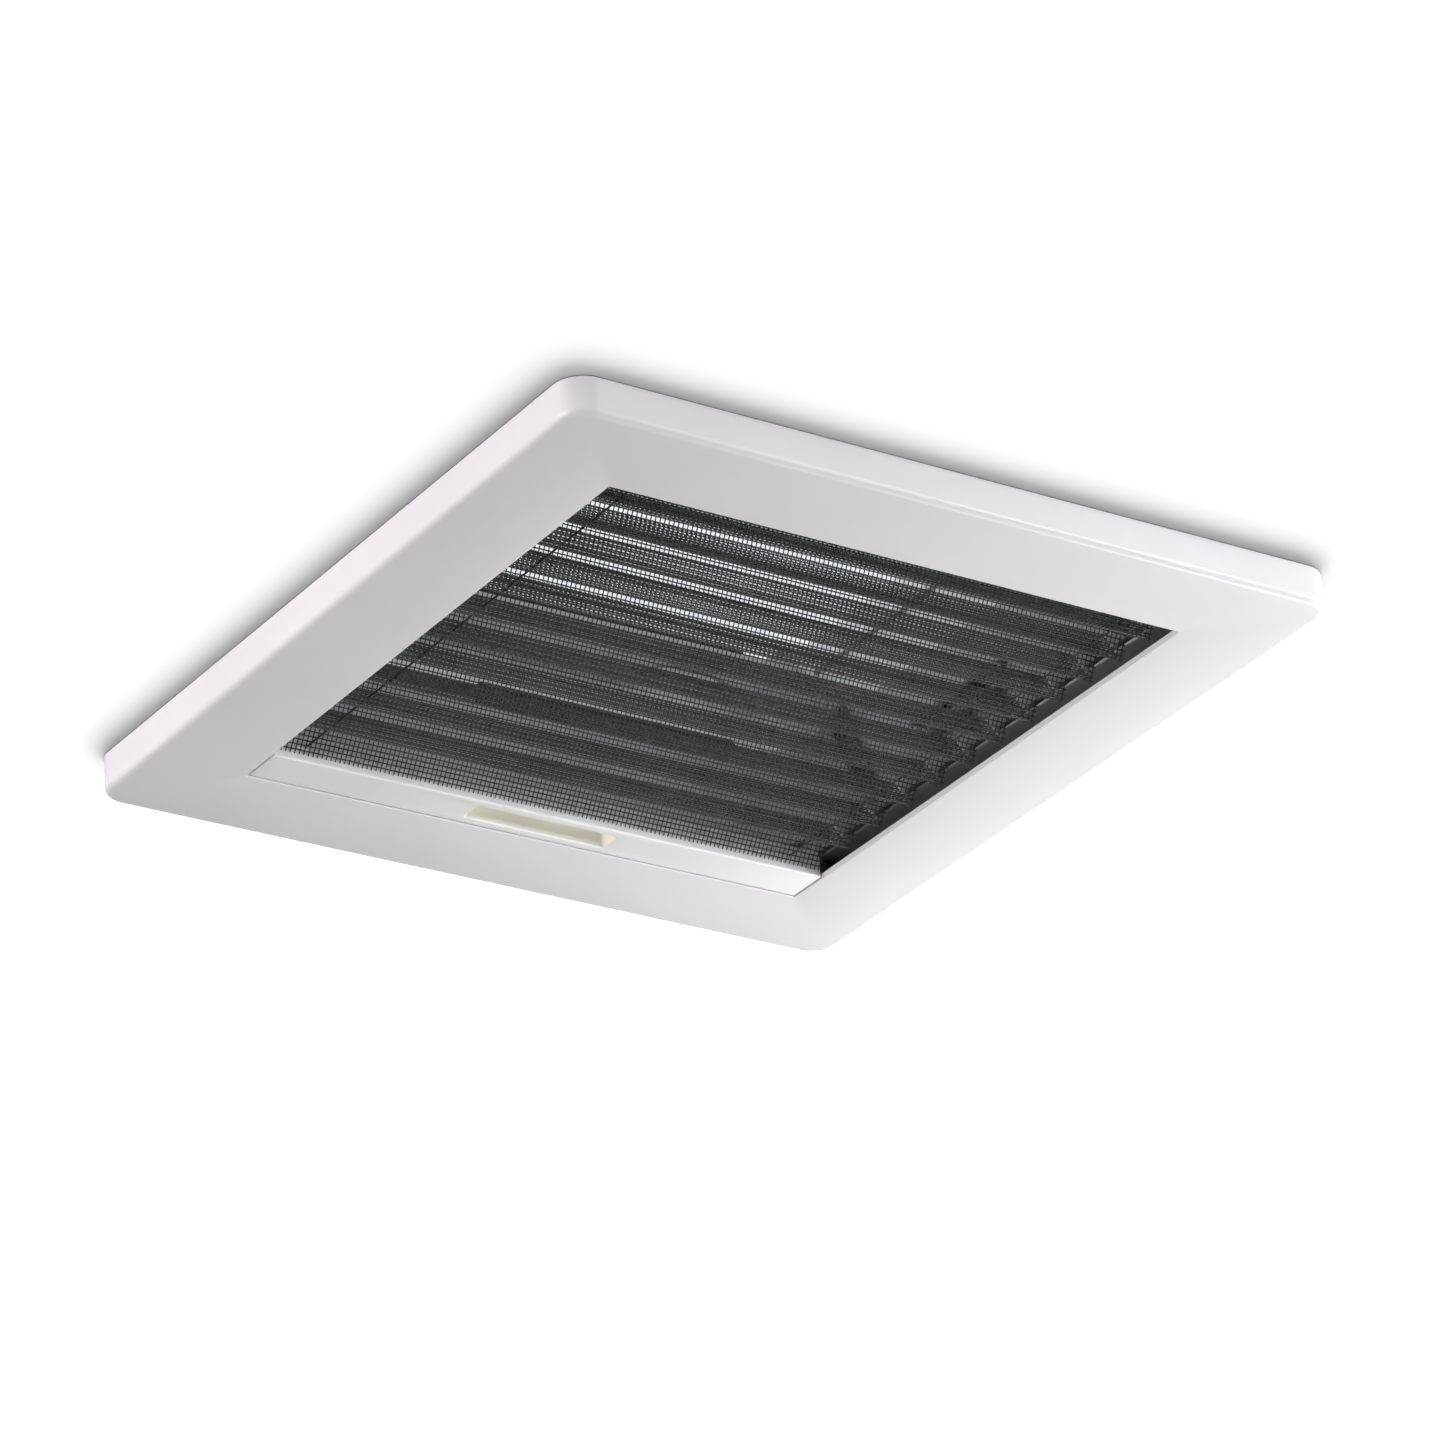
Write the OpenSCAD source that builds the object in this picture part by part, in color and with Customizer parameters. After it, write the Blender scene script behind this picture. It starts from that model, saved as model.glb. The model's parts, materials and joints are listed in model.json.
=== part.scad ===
// Roof vent for a caravan or motorhome bathroom, in millimetres, +Z up.
// The origin is the centre of the room-side face, which is the plane z = 0.
// The ceiling meets the trim frame at z = lip_h, and the roof skin is roof_t above it.
// X runs along the pull bar. The insect screen closes towards +Y and the dome is hinged at -Y.

/* [Trim frame] */
// Side of the square trim frame
trim_w = 352; // [350:1:358]
// Height of the trim frame's outer wall
lip_h = 16; // [16:0.5:18]
// Plan radius of the trim frame's corners
corner_r = 12; // [10:1:16]
// Rounding along the trim frame's lower edge
edge_fillet = 2.5; // [1.5:0.25:3]
// Side of the square opening
opening_w = 264; // [264:0.5:265]

/* [Pull bar] */
// Width of the pull bar across its travel
bar_w = 20; // [19.5:0.5:21]
// Gap between the pull bar and each side of the opening
bar_gap = 0.6; // [0.4:0.1:1]
// Length of the finger grip
grip_len = 68; // [60:1:80]
// Width of the finger grip
grip_w = 11; // [10:0.5:12]
// Depth of the finger grip
grip_depth = 8.5; // [7:0.5:9]

/* [Insect screen] */
// Number of pleats between the fixed rail and the pull bar
pleats = 12; // [11:1:13]
// Length of net between two folds
panel_len = 19.5; // [17:0.5:20]
// Thickness of the folded net as a solid
net_t = 0.4; // [0.3:0.05:0.5]

/* [Roof] */
// Side of the square cut-out in the roof
cutout_w = 280; // [280:0.5:281]
// Thickness of the roof
roof_t = 35; // [33:1:37]
// Side of the outer flange on the roof
flange_w = 380; // [376:1:390]
// Height of the roof frame's rim above the room-side face
rim_z = 92; // [91:0.5:93]

/* [Dome] */
// Height of the dome's crown above its frame
crown_h = 29; // [26:1:34]
// Thickness of the dome's outer shell
shell_t = 2.5; // [2:0.25:3]

/* [Hidden] */
$fn = 48;
eps = 0.01;
past = 1;

// Trim frame and the screen's cassette behind it
trim_half = trim_w / 2;
opening_half = opening_w / 2;
face_t = 2.4;
wall_t = 2.4;
plate_t = 3;
plate_z = lip_h - plate_t;
plate_half = trim_half - 8;
plate_r = 12;
weld = 0.4;
hook_at = trim_half - 14;
hook_along = 70;
hook_len = 10;
hook_t = 2;
hook_nose = 1.2;
hook_nose_h = 1.4;
hook_top = lip_h - 0.4;
hook_gap = 0.3;

// Rails: angle profiles that the trim frame's margin hides
rail_top = 11;
rail_flange_t = 1.4;
rail_in = opening_half + 0.4;
rail_web = opening_half + 13.5;
rail_web_t = 1.5;
rail_out = opening_half + 24;
rail_lip_in = opening_half + 8.5;
rail_lip_t = 1.2;
rail_z = face_t + 0.1;
rail_under = rail_top - rail_flange_t;
rail_end = opening_half + 1.5;
end_rail_in = opening_half + 2.5;
end_rail_out = opening_half + 16.4;
rail_screw_at = opening_half + 20;
rail_screw_along = 100;
rail_screw_r = 1.3;
rail_hole_r = 1.7;
rail_head_r = 2.8;
rail_head_h = 1.5;
rail_screw_tip = face_t + 1.5;
post_r = 3.2;
post_bore_r = 1.35;

// Pull bar with a shoe at each end
bar_stop = 0.3;
bar_far = opening_half - bar_stop;
bar_near = bar_far - bar_w;
bar_half = opening_half - bar_gap;
bar_z = 0.3;
bar_top = 11.7;
bar_wall = 1.8;
bar_edge = 0.7;
bar_floor = bar_z + bar_wall;
cover_t = 1.2;
cover_gap = 0.1;
cover_z = bar_top - cover_t;
grip_y = (bar_near + bar_far - grip_w) / 2;
grip_draft = 0.8;
grip_wall = 1.3;
rib_x = 80;
shoe_z = 2.9;
shoe_top = rail_under - 0.3;
shoe_out = rail_web - 0.4;
shoe_step_x = rail_lip_in - 0.3;
shoe_step_z = rail_z + rail_lip_t + 0.3;
shoe_near = bar_near + 1;
shoe_far = bar_far - 1;
stub_in = bar_half - 9;
stub_near = bar_near + 5;
stub_far = bar_far - 5;
stub_z = 3.9;
stub_top = 7.9;
stub_gap = 0.1;

// Insect screen: one zigzag sheet from the fixed rail to the pull bar
net_half = opening_half - 0.7;
net_low = 3;
net_start = -end_rail_in;
net_end = bar_near - 0.1;
net_spread = 0.1;
net_flap = 3.5;
net_top = fold_z(1) + net_t;
cord_x = opening_half - 16;
cord_z = 7.2;
cord_r = 0.4;
cord_hole_r = 0.8;
anchor_r = 1.8;
anchor_near = opening_half + 9.5;
anchor_len = 5;
anchor_pocket_r = 2;

// Duct: the clamp frame's liner inside, the roof frame's spigot outside it
ceiling_z = lip_h;
roof_z = ceiling_z + roof_t;
liner_half = opening_half;
liner_t = 1.6;
liner_r = 18;
liner_top = 65.5;
collar_r = 4.5;
collar_top = net_top + 1;
spigot_half = cutout_w / 2 - 1.4;
spigot_t = 2.2;
spigot_r = 6;
spigot_z = ceiling_z + 5;
gasket_t = 2;
flange_z = roof_z + gasket_t;
flange_t = 3;
flange_half = flange_w / 2;
flange_r = 28;
duct_half = liner_half + liner_t + 0.3;
duct_r = liner_r + liner_t + 0.3;
upstand_t = 7.5;
rim_w = 13.5;
rim_half = duct_half + rim_w;
seal_inset = 2;
seal_gap = 2.5;
gasket_inset = 4;
gasket_gap = 2;
gasket_r = 8;
rim_t = 3;
clamp_at = spigot_half - 4.4;
clamp_boss_r = 4.2;
clamp_bore_r = 2.15;
clamp_screw_r = 2.1;
clamp_head_r = 4.5;
clamp_head_h = 2.5;
clamp_hole_r = 2.6;
clamp_pad_r = 7.5;
clamp_pad_z = rail_top + 1.2;
clamp_seat_r = 4.9;
clamp_seat_z = plate_z + 1.5;
clamp_tip_z = roof_z - 3;

// Dome and its hinge
hinge_y = -166;
hinge_z = rim_z + 4;
hinge_x = 90;
ring_z = rim_z + 2;
ring_t = 3;
dome_z = ring_z + ring_t;
dome_half = 156;
dome_r = 42;
skirt_t = 3;
skirt_z = rim_z - 10;
tray_half = 133;
tray_t = 2;
tray_r = 19;
tray_gap = 0.3;
tray_rim_t = 2;
pane_z = dome_z + 9.5;
pane_t = 2.5;
tray_rim_half = 151;
crown_half = 112;
knuckle_w = 18;
knuckle_r = 6;
pin_r = 3;
pin_bore_r = 3.04;
pin_head_r = 5;
pin_head_t = 2;
pin_tail_r = 4.2;
pin_tail_t = 1.5;
cheek_in = 10;
cheek_t = 3;
cheek_r = 6.5;
cheek_near = 11;
cheek_far = 8;
cheek_top = 6;
base_t = 3;
base_half = 21;
base_near = hinge_y - 13;
base_far = hinge_y + 10;
bracket_screw_x = 17;
bracket_screw_r = 1.7;
bracket_hole_r = 1.75;
bracket_head_r = 3.2;
bracket_head_h = 2.2;
washer_t = 0.8;
washer_r = 6.2;
washer_gap = 0.1;
leaf_t = 3;
leaf_z = skirt_z + 2;
leaf_screw_x = 5;
leaf_screw_r = 1.6;
leaf_hole_r = 1.65;
leaf_head_r = 2.8;
leaf_head_h = 1.6;
leaf_lug_h = 5;
leaf_screw_z = skirt_z + 6;

// Handle: two arms and a rod make a bail that hangs from the dome's carrier
sleeve_half = 60;
sleeve_r = 4.2;
sleeve_in_r = 2.52;
pivot_y = 86;
pivot_z = 66;
grip_bar_y = 70.5;
grip_bar_z = net_top + sleeve_r + 0.5;
arm_x = 125.1;
arm_t = 3.75;
arm_eye_r = 5.2;
arm_foot_r = 4.2;
pivot_r = 2.5;
pivot_bore_r = 2.55;
pivot_head_r = 4;
pivot_tail_r = 3.8;
pivot_head_t = 1.5;
pivot_play = 0.15;
rod_r = 2.5;
rod_seat_r = 2.52;
rod_end = liner_half - 1.4;
lug_x = 120.5;
lug_t = 4;
lug_r = 7;
lug_root = 11;
beam_near = 123;
beam_t = 2.5;
beam_far = tray_half - tray_t;
beam_half = 110;
beam_low = rim_z - 6.5;
beam_top = pane_z - 2;
arch_mid = 82;
arch_r = 52;
arch_rise = 6.5;

// Lock bolts on the liner's side walls, which slide over the ends of the handle's rod
guide_near = -24;
guide_far = 38;
guide_x = liner_half - 4;
guide_face_t = 1.2;
guide_low = grip_bar_z + 2;
guide_high = guide_low + 12;
bolt_x = guide_x + guide_face_t + 0.15;
bolt_out = liner_half - 0.3;
bolt_low = guide_low + 2;
bolt_high = bolt_low + 8;
bolt_near = -20;
bolt_far = 30;
tab_near = -17;
tab_far = -7;
tab_low = bolt_low + 2.5;
tab_high = tab_low + 3;
tab_x = 123.5;
lock_slot_gap = 0.5;
lock_play = 0.3;

// A box between two corners
module box(low, high) {
    translate(low)
        cube(high - low);
}

// The outline of a square with round corners, 12 steps to each corner
function square_outline(half, r, steps = 12) = [
    for (q = [0:3])
        for (i = [0:steps])
            let (a = (q + i / steps) * 90)
            let (cx = (q == 0 || q == 3) ? half - r : r - half)
            let (cy = (q < 2) ? half - r : r - half)
            [cx + r * cos(a), cy + r * sin(a)]
];

module slab(half, r, z0, z1) {
    translate([0, 0, z0])
        linear_extrude(z1 - z0)
            polygon(square_outline(half, r));
}

// A square ring: r is the outer corner radius, and the inner corner keeps the wall's width
module ring(half, r, inner_half, inner_r, z0, z1) {
    difference() {
        slab(half, r, z0, z1);
        slab(inner_half, inner_r, z0 - past, z1 + past);
    }
}

// A rod along X from x0 to x1
module rod_x(x0, x1, y, z, r) {
    translate([x0, y, z])
        rotate([0, 90, 0])
            cylinder(h = x1 - x0, r = r);
}

// A rod along Y from y0 to y1
module rod_y(x, y0, y1, z, r) {
    translate([x, y0, z])
        rotate([-90, 0, 0])
            cylinder(h = y1 - y0, r = r);
}

// A plate in the YZ plane from x0 to x1
module plate_x(x0, x1, outline) {
    translate([x0, 0, 0])
        rotate([90, 0, 90])
            linear_extrude(x1 - x0)
                polygon(outline);
}

// Points along an arc in the YZ plane
function arc(centre, r, from, to, steps = 16) = [
    for (i = [0:steps])
        let (a = from + (to - from) * i / steps)
        [centre[0] + r * cos(a), centre[1] + r * sin(a)]
];

// The right-hand part, or its mirror image for the left
module side(left) {
    mirror([left ? 1 : 0, 0, 0])
        children();
}

// The same child at both sides
module both_sides() {
    side(false)
        children();
    side(true)
        children();
}

// Turns children made for the +Y end to each of the four sides
module four_sides() {
    for (turn = [0:3])
        rotate(turn * 90)
            children();
}

// The trim frame's outside, rounded along its lower edge
module trim_blank() {
    hull() {
        for (a = [0:22.5:90])
            let (in = edge_fillet * (1 - sin(a)))
                slab(trim_half - in, corner_r - in, edge_fillet * (1 - cos(a)),
                    edge_fillet * (1 - cos(a)) + eps);
        slab(trim_half, corner_r, edge_fillet, lip_h);
    }
}

// A snap hook that stands on the face plate and grips the clamp frame
module trim_hook(x) {
    box([x - hook_len / 2, hook_at, face_t - weld], [x + hook_len / 2, hook_at + hook_t, hook_top]);
    box([x - hook_len / 2, hook_at + hook_t - eps, hook_top - hook_nose_h],
        [x + hook_len / 2, hook_at + hook_t + hook_nose, hook_top]);
}

module trim_frame() {
    color("whitesmoke") {
        difference() {
            trim_blank();
            slab(trim_half - wall_t, corner_r - wall_t, face_t, lip_h + past);
            box([-opening_half, -opening_half, -past], [opening_half, opening_half, lip_h]);
        }
        four_sides() {
            trim_hook(hook_along);
            trim_hook(-hook_along);
            rail_post(rail_screw_along);
            rail_post(-rail_screw_along);
        }
    }
}

module rail_post(x) {
    difference() {
        translate([x, rail_screw_at, face_t - weld])
            cylinder(h = rail_under - face_t + weld, r = post_r);
        translate([x, rail_screw_at, face_t + 1])
            cylinder(h = rail_under, r = post_bore_r);
    }
}

module rail_holes() {
    for (x = [-rail_screw_along, rail_screw_along])
        translate([x, rail_screw_at, 0])
            cylinder(h = rail_top + past, r = rail_hole_r);
}

// A side rail: web, upper flange and a low lip that the shoe runs over
module guide_rail(left) {
    color("silver")
        side(left)
            difference() {
                union() {
                    box([rail_web, -rail_end, rail_z], [rail_web + rail_web_t, rail_end, rail_top]);
                    box([rail_in, -rail_end, rail_under], [rail_out, rail_end, rail_top]);
                    box([rail_lip_in, -rail_end, rail_z],
                        [rail_web + eps, rail_end, rail_z + rail_lip_t]);
                }
                rotate(-90)
                    rail_holes();
            }
}

// An end rail at +Y, with a bore for each cord and a pocket for its anchor
module end_rail() {
    difference() {
        union() {
            box([-rail_web, end_rail_in, rail_z], [rail_web, end_rail_out, rail_under + eps]);
            box([-rail_web, end_rail_in, rail_under], [rail_web, rail_out, rail_top]);
        }
        rail_holes();
        for (x = [-cord_x, cord_x]) {
            rod_y(x, end_rail_in - past, anchor_near, cord_z, cord_hole_r);
            rod_y(x, anchor_near - eps, end_rail_out + past, cord_z, anchor_pocket_r);
        }
    }
}

module screen_fixed_rail() {
    color("silver")
        difference() {
            rotate(180)
                end_rail();
            box([-net_half - past, net_start - net_flap - past, rail_z - past],
                [net_half + past, net_start + past, net_low + 2 * net_t]);
        }
}

module screen_far_rail() {
    color("silver")
        end_rail();
}

module rail_screws() {
    color("lightsteelblue")
        four_sides()
            for (x = [-rail_screw_along, rail_screw_along])
                translate([x, rail_screw_at, 0]) {
                    translate([0, 0, rail_top])
                        cylinder(h = rail_head_h, r = rail_head_r);
                    translate([0, 0, rail_screw_tip])
                        cylinder(h = rail_top + weld - rail_screw_tip, r = rail_screw_r);
                }
}

// Folds along Y, low and high in turn: the pleats nearer the bar are drawn a little further apart
function fold_y(i) =
    let (share = i / (2 * pleats))
    net_start + (net_end - net_start) * share * (1 - net_spread + net_spread * share);
function fold_z(i) = (i % 2 == 0) ? net_low
    : net_low + sqrt(pow(panel_len, 2) - pow((fold_y(i + 1) - fold_y(i - 1)) / 2, 2));
function fold_line(rise) = [for (i = [0:2 * pleats]) [fold_y(i), fold_z(i) + rise]];
function backwards(list) = [for (i = [len(list) - 1:-1:0]) list[i]];

module insect_screen() {
    color("dimgray")
        difference() {
            union() {
                plate_x(-net_half, net_half, concat(fold_line(0), backwards(fold_line(net_t))));
                box([-net_half, net_start - net_flap, net_low], [net_half, net_start + eps, net_low + net_t]);
            }
            for (x = [-cord_x, cord_x])
                rod_y(x, net_start - net_flap - past, net_end + past, cord_z, cord_hole_r);
        }
}

module screen_cords() {
    color("gray")
        for (x = [-cord_x, cord_x])
            rod_y(x, -anchor_near - anchor_len / 2, anchor_near + anchor_len / 2, cord_z, cord_r);
}

// A crimped bead on each end of each cord
module cord_anchors() {
    color("lightsteelblue")
        both_sides()
            for (far = [0, 1])
                mirror([0, far, 0])
                    difference() {
                        rod_y(cord_x, anchor_near + 0.2, anchor_near + anchor_len, cord_z, anchor_r);
                        rod_y(cord_x, anchor_near - past, anchor_near + anchor_len / 2 + 0.1,
                            cord_z, cord_r + 0.02);
                    }
}

// The finger grip's hollow, whose ends slope in towards its floor
module grip_hollow(grow) {
    translate([0, grip_y + grip_w + grow, 0])
        rotate([90, 0, 0])
            linear_extrude(grip_w + 2 * grow)
                polygon([
                    [-grip_len / 2 - grow, bar_z - past],
                    [grip_len / 2 + grow, bar_z - past],
                    [grip_len / 2 + grow, bar_z],
                    [grip_len / 2 - grip_draft + grow, bar_z + grip_depth + grow],
                    [-grip_len / 2 + grip_draft - grow, bar_z + grip_depth + grow],
                    [-grip_len / 2 - grow, bar_z]
                ]);
}

module pull_bar() {
    color("white")
        difference() {
            union() {
                difference() {
                    plate_x(-bar_half, bar_half, [
                        [bar_near + bar_edge, bar_z],
                        [bar_far - bar_edge, bar_z],
                        [bar_far, bar_z + bar_edge],
                        [bar_far, bar_top],
                        [bar_near, bar_top],
                        [bar_near, bar_z + bar_edge]
                    ]);
                    box([-bar_half + bar_wall, bar_near + bar_wall, bar_floor],
                        [bar_half - bar_wall, bar_far - bar_wall, bar_top + past]);
                }
                intersection() {
                    grip_hollow(grip_wall);
                    box([-bar_half, bar_near + eps, bar_z + eps], [bar_half, bar_far - eps, bar_top]);
                }
                for (x = [-rib_x, rib_x])
                    box([x, bar_near + eps, bar_z + eps], [x + bar_wall, bar_far - eps, cover_z]);
            }
            grip_hollow(0);
            both_sides() {
                box([stub_in, stub_near, stub_z], [bar_half + past, stub_far, stub_top]);
                rod_y(cord_x, bar_near - past, bar_far + past, cord_z, cord_hole_r);
            }
        }
}

module bar_cover() {
    color("white")
        box([-bar_half + bar_wall + cover_gap, bar_near + bar_wall + cover_gap, cover_z],
            [bar_half - bar_wall - cover_gap, bar_far - bar_wall - cover_gap, bar_top]);
}

// A shoe plugs into the bar's end and runs in the guide rail
module bar_shoe(left) {
    color("dimgray")
        side(left) {
            box([bar_half, shoe_near, shoe_z], [shoe_step_x, shoe_far, shoe_top]);
            box([shoe_step_x - eps, shoe_near, shoe_step_z], [shoe_out, shoe_far, shoe_top]);
            box([stub_in + stub_gap, stub_near + stub_gap, stub_z + stub_gap],
                [bar_half + eps, stub_far - stub_gap, stub_top - stub_gap]);
        }
}

// A stepped window for one snap hook: the hook's nose rests on its ledge
module hook_window(x) {
    ledge_z = hook_top - hook_nose_h - 0.1;
    x0 = x - hook_len / 2 - hook_gap;
    x1 = x + hook_len / 2 + hook_gap;
    box([x0, hook_at - hook_gap, plate_z - past], [x1, hook_at + hook_t + hook_gap, lip_h + past]);
    box([x0, hook_at - hook_gap, ledge_z], [x1, hook_at + hook_t + hook_nose + hook_gap, lip_h + past]);
}

module at_clamp_screws() {
    for (x = [-clamp_at, clamp_at])
        for (y = [-clamp_at, clamp_at])
            translate([x, y, 0])
                children();
}

// The ring that presses on the ceiling, with the duct's lower liner
module clamp_frame() {
    color("gainsboro")
        difference() {
            union() {
                ring(plate_half, plate_r, liner_half, collar_r, plate_z, lip_h);
                ring(liner_half + liner_t, collar_r + liner_t, liner_half, collar_r,
                    plate_z, collar_top + eps);
                ring(liner_half + liner_t, liner_r + liner_t, liner_half, liner_r,
                    collar_top, liner_top);
                at_clamp_screws()
                    translate([0, 0, clamp_pad_z])
                        cylinder(h = lip_h - clamp_pad_z, r = clamp_pad_r);
            }
            at_clamp_screws() {
                translate([0, 0, clamp_pad_z - past])
                    cylinder(h = lip_h, r = clamp_hole_r);
                translate([0, 0, clamp_pad_z - past])
                    cylinder(h = clamp_seat_z - clamp_pad_z + past, r = clamp_seat_r);
            }
            four_sides() {
                hook_window(hook_along);
                hook_window(-hook_along);
            }
        }
}

module clamp_screws() {
    color("lightsteelblue")
        at_clamp_screws() {
            translate([0, 0, clamp_seat_z - clamp_head_h])
                cylinder(h = clamp_head_h, r = clamp_head_r);
            translate([0, 0, clamp_seat_z - past])
                cylinder(h = clamp_tip_z - clamp_seat_z + past, r = clamp_screw_r);
        }
}

module lock_guide(left) {
    color("gray")
        side(left)
            difference() {
                box([guide_x, guide_near, guide_low], [liner_half, guide_far, guide_high]);
                box([guide_x + guide_face_t, guide_near - past, bolt_low - lock_play],
                    [liner_half + past, guide_far + past, bolt_high + lock_play]);
                box([guide_x - past, bolt_near, tab_low - lock_slot_gap],
                    [guide_x + guide_face_t + past, guide_far + past, tab_high + lock_slot_gap]);
            }
}

module lock_bolt(left) {
    color("darkslategray")
        side(left) {
            box([bolt_x, bolt_near, bolt_low], [bolt_out, bolt_far, bolt_high]);
            box([tab_x, tab_near, tab_low], [bolt_x + eps, tab_far, tab_high]);
        }
}

module at_bracket_screws() {
    both_sides()
        for (x = [-bracket_screw_x, bracket_screw_x])
            translate([hinge_x + x, hinge_y, 0])
                children();
}

// Flange on the roof skin, upstand with the sealing rim, and the spigot through the cut-out
module roof_frame() {
    color("ghostwhite")
        difference() {
            union() {
                ring(flange_half, flange_r, duct_half, duct_r, flange_z, flange_z + flange_t);
                ring(duct_half + upstand_t, duct_r + upstand_t, duct_half, duct_r, flange_z, rim_z);
                ring(rim_half, duct_r + rim_w, duct_half, duct_r, rim_z - rim_t, rim_z);
                ring(spigot_half, spigot_r, spigot_half - spigot_t, spigot_r - spigot_t,
                    spigot_z, flange_z + eps);
                at_clamp_screws()
                    translate([0, 0, spigot_z])
                        cylinder(h = flange_z + 1 - spigot_z, r = clamp_boss_r);
            }
            at_clamp_screws()
                translate([0, 0, spigot_z - past])
                    cylinder(h = roof_z - spigot_z, r = clamp_bore_r);
            at_bracket_screws()
                translate([0, 0, flange_z - past])
                    cylinder(h = flange_t + 2 * past, r = bracket_hole_r);
        }
}

module roof_gasket() {
    color("black")
        ring(flange_half - gasket_inset, flange_r - gasket_inset, cutout_w / 2 + gasket_gap, gasket_r,
            roof_z, flange_z);
}

// Two cheeks on a base plate hold the hinge pin
module hinge_bracket(left) {
    base_z = flange_z + flange_t;
    color("gainsboro")
        side(left)
            difference() {
                union() {
                    box([hinge_x - base_half, base_near, base_z],
                        [hinge_x + base_half, base_far, base_z + base_t]);
                    for (x = [hinge_x - cheek_in - cheek_t, hinge_x + cheek_in]) {
                        plate_x(x, x + cheek_t, [
                            [hinge_y - cheek_near, base_z + 1],
                            [hinge_y + cheek_far, base_z + 1],
                            [hinge_y + cheek_top, hinge_z],
                            [hinge_y - cheek_top, hinge_z]
                        ]);
                        rod_x(x, x + cheek_t, hinge_y, hinge_z, cheek_r);
                    }
                }
                rod_x(hinge_x - base_half, hinge_x + base_half, hinge_y, hinge_z, pin_bore_r);
                for (x = [-bracket_screw_x, bracket_screw_x])
                    translate([hinge_x + x, hinge_y, base_z - past])
                        cylinder(h = base_t + 2 * past, r = bracket_hole_r);
            }
}

module bracket_screws() {
    top = flange_z + flange_t + base_t;
    color("lightsteelblue")
        at_bracket_screws() {
            translate([0, 0, top])
                cylinder(h = bracket_head_h, r = bracket_head_r);
            translate([0, 0, flange_z + 0.2])
                cylinder(h = top - flange_z, r = bracket_screw_r);
        }
}

module hinge_pin(left) {
    reach = cheek_in + cheek_t;
    color("lightsteelblue")
        side(left) {
            rod_x(hinge_x - reach, hinge_x + reach, hinge_y, hinge_z, pin_r);
            rod_x(hinge_x + reach, hinge_x + reach + pin_head_t, hinge_y, hinge_z, pin_head_r);
            rod_x(hinge_x - reach - pin_tail_t, hinge_x - reach, hinge_y, hinge_z, pin_tail_r);
        }
}

// One washer at each side of each hinge knuckle
module friction_washers() {
    color("darkkhaki")
        both_sides()
            for (x = [hinge_x - cheek_in + washer_gap, hinge_x + cheek_in - washer_gap - washer_t])
                difference() {
                    rod_x(x, x + washer_t, hinge_y, hinge_z, washer_r);
                    rod_x(x - past, x + washer_t + past, hinge_y, hinge_z, pin_bore_r + 0.06);
                }
}

module dome_frame() {
    color("gainsboro")
        difference() {
            union() {
                ring(dome_half, dome_r, tray_half + tray_gap, tray_r + tray_gap, ring_z, dome_z);
                ring(dome_half, dome_r, dome_half - skirt_t, dome_r - skirt_t, skirt_z, dome_z);
            }
            both_sides()
                for (x = [-leaf_screw_x, leaf_screw_x])
                    rod_y(hinge_x + x, -dome_half - past, -dome_half + skirt_t + past, leaf_screw_z,
                        leaf_hole_r);
        }
}

// The inner pane: a flat tray turned upside down
module dome_inner() {
    color("azure") {
        ring(tray_half, tray_r, tray_half - tray_t, tray_r - tray_t, ring_z, pane_z + eps);
        slab(tray_half, tray_r, pane_z, pane_z + pane_t);
        ring(tray_rim_half, dome_r - dome_half + tray_rim_half, tray_half - eps, tray_r,
            dome_z, dome_z + tray_rim_t);
    }
}

// Levels of the crown, narrowing as they rise
module crown(inset) {
    hull()
        for (a = [0:15:90])
            let (level = dome_z + (crown_h - inset - eps) * sin(a))
                slab(crown_half - inset + (dome_half - crown_half) * cos(a), dome_r - inset,
                    level, level + eps);
}

module dome_outer() {
    color("azure", 0.6)
        difference() {
            crown(0);
            crown(shell_t);
            slab(dome_half - shell_t, dome_r - shell_t, dome_z - past, dome_z + eps);
        }
}

module dome_seal() {
    color("black")
        ring(rim_half - seal_inset, duct_r + rim_w - seal_inset, duct_half + seal_gap, duct_r + seal_gap,
            rim_z + 0.1, ring_z);
}

// The moving half of a hinge, screwed to the dome frame's skirt
module hinge_leaf(left) {
    back = -dome_half;
    x0 = hinge_x - knuckle_w / 2;
    x1 = hinge_x + knuckle_w / 2;
    color("gainsboro")
        side(left)
            difference() {
                union() {
                    rod_x(x0, x1, hinge_y, hinge_z, knuckle_r);
                    box([x0, back - leaf_t, leaf_z], [x1, back, dome_z]);
                    box([x0, hinge_y, dome_z - leaf_lug_h], [x1, back - eps, dome_z]);
                }
                rod_x(x0 - past, x1 + past, hinge_y, hinge_z, pin_bore_r);
                for (x = [-leaf_screw_x, leaf_screw_x])
                    rod_y(hinge_x + x, back - leaf_t - past, back + past, leaf_screw_z, leaf_hole_r);
            }
}

module leaf_screws() {
    back = -dome_half - leaf_t;
    color("lightsteelblue")
        both_sides()
            for (x = [-leaf_screw_x, leaf_screw_x]) {
                rod_y(hinge_x + x, back - leaf_head_h, back, leaf_screw_z, leaf_head_r);
                rod_y(hinge_x + x, back - weld, -dome_half + skirt_t - 0.2, leaf_screw_z, leaf_screw_r);
            }
}

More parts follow.
